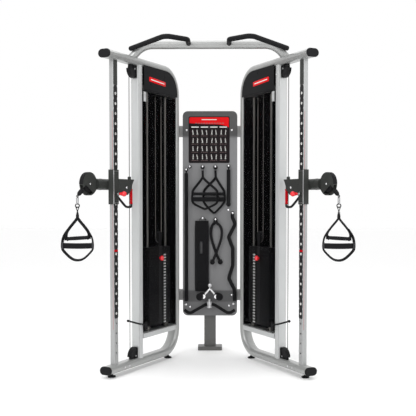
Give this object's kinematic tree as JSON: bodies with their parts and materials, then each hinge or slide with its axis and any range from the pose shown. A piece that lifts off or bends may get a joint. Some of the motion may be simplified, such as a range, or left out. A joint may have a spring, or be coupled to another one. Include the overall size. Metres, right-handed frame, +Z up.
{
  "type": "functional trainer",
  "caption": "Two-tower cable trainer with sliding carriages, swivelling cable arms, shrouded weight stacks, a chin-up bar and a back board for attachments",
  "frame": {"origin": "on the floor under the middle of the bounding box", "axes": "+Z up, +X towards the right tower as the user at the front sees it, +Y to the back board"},
  "size_m": [1.8668, 1.3128, 2.295],
  "materials": {
    "frame_silver": "satin silver-grey coat",
    "column_silver": "satin silver coat, pin holes in a row",
    "upright_pale": "pale silver coat",
    "arm_charcoal": "charcoal coat",
    "black_plastic": "matte black",
    "smoked_sheet": "glossy smoked black",
    "cover_black": "glossy black",
    "chrome": "polished",
    "steel": "bright steel",
    "black_rubber": "black rubber",
    "cast_plate": "black coated plates",
    "red_knob": "red",
    "red_grip": "dark red rubber",
    "black_cable": "black coated steel cable",
    "webbing": "black webbing",
    "board_grey": "mid-grey coat",
    "placard": "black printed panel",
    "post_grey": "dark grey coat",
    "crossmember_grey": "grey coat"
  },
  "bodies": {
    "frame": {"uprights": "upright_pale", "slide_columns": "column_silver", "frame_end_caps": "black_plastic", "levelling_feet": "black_rubber", "shroud_panels": "smoked_sheet", "top_covers": "cover_black", "stack_rails": "upright_pale", "guide_rods": "chrome", "pulley_guards": "black_plastic", "fasteners": "steel", "cables": "black_cable", "stack_pulleys": "black_plastic", "chin_up_bar": "frame_silver", "chin_grips": "black_rubber", "crossmembers": "crossmember_grey", "accessory_board": "board_grey", "instruction_placard": "placard", "board_post": "post_grey", "board_foot": "post_grey", "accessory_pegs": "steel", "straight_bars": "black_rubber", "stirrup_handles": "webbing", "padded_strap": "webbing", "triceps_rope": "webbing", "curl_bar": "black_rubber", "v_handle": "chrome", "lat_bar": "black_rubber", "resting_weight_plates": "cast_plate", "left_frame_hoop": "frame_silver", "right_frame_hoop": "frame_silver", "left_stack_cable": "black_cable", "right_stack_cable": "black_cable"},
    "left_carriage": {"left_carriage": "arm_charcoal", "left_carriage_grip": "red_grip"},
    "left_pull_pin": {"left_pull_pin": "red_knob"},
    "left_arm": {"left_arm": "arm_charcoal", "left_cable_end": "black_rubber"},
    "left_head_wheel": {"left_head_wheel": "black_plastic"},
    "left_handle": {"left_snap_hook": "chrome", "left_handle_webbing": "webbing", "left_handle_grip": "black_rubber"},
    "left_lift": {"left_lifted_plates": "cast_plate"},
    "left_selector_pin": {"left_selector_pin": "red_knob"},
    "left_top_wheel": {"left_top_wheel": "black_plastic"},
    "left_bottom_wheel": {"left_bottom_wheel": "black_plastic"},
    "left_floating_wheel": {"left_floating_wheel": "black_plastic"},
    "right_carriage": {"right_carriage": "arm_charcoal", "right_carriage_grip": "red_grip"},
    "right_pull_pin": {"right_pull_pin": "red_knob"},
    "right_arm": {"right_arm": "arm_charcoal", "right_cable_end": "black_rubber"},
    "right_head_wheel": {"right_head_wheel": "black_plastic"},
    "right_handle": {"right_snap_hook": "chrome", "right_handle_webbing": "webbing", "right_handle_grip": "black_rubber"},
    "right_lift": {"right_lifted_plates": "cast_plate"},
    "right_selector_pin": {"right_selector_pin": "red_knob"},
    "right_top_wheel": {"right_top_wheel": "black_plastic"},
    "right_bottom_wheel": {"right_bottom_wheel": "black_plastic"},
    "right_floating_wheel": {"right_floating_wheel": "black_plastic"}
  },
  "joints": [
    {"name": "left_carriage_slide", "type": "slide", "parent": "frame", "child": "left_carriage", "axis": [0, 0, 1], "range_m": [-0.737, 0.67]},
    {"name": "left_pull_pin_pull", "type": "slide", "parent": "left_carriage", "child": "left_pull_pin", "axis": [0.891, -0.454, 0], "range_m": [0, 0.012], "stiffness_N_per_m": 800, "springref_m": -0.01},
    {"name": "left_arm_swivel", "type": "hinge", "parent": "left_carriage", "child": "left_arm", "pos_m": [-0.70446, -0.38106, 1.295], "axis": [0.454, 0.891, 0], "range_deg": [-90, 90]},
    {"name": "left_head_wheel_spin", "type": "hinge", "parent": "left_arm", "child": "left_head_wheel", "pos_m": [-0.78073, -0.53075, 1.295], "axis": [0.891, -0.454, 0], "continuous": true},
    {"name": "left_handle_swing", "type": "hinge", "parent": "left_arm", "child": "left_handle", "pos_m": [-0.83339, -0.63411, 1.207], "axis": [1, 0, 0], "range_deg": [-28, 20]},
    {"name": "left_stack_lift", "type": "slide", "parent": "frame", "child": "left_lift", "axis": [0, 0, 1], "range_m": [0, 1], "deforming": ["left_stack_cable"]},
    {"name": "left_selector_pin_pull", "type": "slide", "parent": "left_lift", "child": "left_selector_pin", "axis": [0.891, -0.454, 0], "range_m": [0, 0.06]},
    {"name": "left_top_wheel_spin", "type": "hinge", "parent": "frame", "child": "left_top_wheel", "pos_m": [-0.52434, -0.15971, 2.1], "axis": [0.891, -0.454, 0], "continuous": true},
    {"name": "left_bottom_wheel_spin", "type": "hinge", "parent": "frame", "child": "left_bottom_wheel", "pos_m": [-0.52434, -0.15971, 0.096], "axis": [0.891, -0.454, 0], "continuous": true},
    {"name": "left_floating_wheel_spin", "type": "hinge", "parent": "left_lift", "child": "left_floating_wheel", "pos_m": [-0.37543, 0.13254, 0.9221], "axis": [0.891, -0.454, 0], "continuous": true},
    {"name": "right_carriage_slide", "type": "slide", "parent": "frame", "child": "right_carriage", "axis": [0, 0, 1], "range_m": [-0.737, 0.67]},
    {"name": "right_pull_pin_pull", "type": "slide", "parent": "right_carriage", "child": "right_pull_pin", "axis": [-0.891, -0.454, 0], "range_m": [0, 0.012], "stiffness_N_per_m": 800, "springref_m": -0.01},
    {"name": "right_arm_swivel", "type": "hinge", "parent": "right_carriage", "child": "right_arm", "pos_m": [0.70446, -0.38106, 1.295], "axis": [-0.454, 0.891, 0], "range_deg": [-90, 90]},
    {"name": "right_head_wheel_spin", "type": "hinge", "parent": "right_arm", "child": "right_head_wheel", "pos_m": [0.78073, -0.53075, 1.295], "axis": [0.891, 0.454, 0], "continuous": true},
    {"name": "right_handle_swing", "type": "hinge", "parent": "right_arm", "child": "right_handle", "pos_m": [0.83339, -0.63411, 1.207], "axis": [1, 0, 0], "range_deg": [-28, 20]},
    {"name": "right_stack_lift", "type": "slide", "parent": "frame", "child": "right_lift", "axis": [0, 0, 1], "range_m": [0, 1], "deforming": ["right_stack_cable"]},
    {"name": "right_selector_pin_pull", "type": "slide", "parent": "right_lift", "child": "right_selector_pin", "axis": [-0.891, -0.454, 0], "range_m": [0, 0.06]},
    {"name": "right_top_wheel_spin", "type": "hinge", "parent": "frame", "child": "right_top_wheel", "pos_m": [0.52434, -0.15971, 2.1], "axis": [0.891, 0.454, 0], "continuous": true},
    {"name": "right_bottom_wheel_spin", "type": "hinge", "parent": "frame", "child": "right_bottom_wheel", "pos_m": [0.52434, -0.15971, 0.096], "axis": [0.891, 0.454, 0], "continuous": true},
    {"name": "right_floating_wheel_spin", "type": "hinge", "parent": "right_lift", "child": "right_floating_wheel", "pos_m": [0.37543, 0.13254, 0.9221], "axis": [0.891, 0.454, 0], "continuous": true}
  ],
  "couplings": [
    {"joint": "left_head_wheel_spin", "follows": "left_stack_lift", "rad_per_m": 40},
    {"joint": "left_top_wheel_spin", "follows": "left_stack_lift", "rad_per_m": 36.364},
    {"joint": "left_floating_wheel_spin", "follows": "left_stack_lift", "rad_per_m": 25},
    {"joint": "left_bottom_wheel_spin", "follows": "left_carriage_slide", "rad_per_m": -18.182},
    {"joint": "right_head_wheel_spin", "follows": "right_stack_lift", "rad_per_m": 40},
    {"joint": "right_top_wheel_spin", "follows": "right_stack_lift", "rad_per_m": 36.364},
    {"joint": "right_floating_wheel_spin", "follows": "right_stack_lift", "rad_per_m": 25},
    {"joint": "right_bottom_wheel_spin", "follows": "right_carriage_slide", "rad_per_m": -18.182}
  ]
}
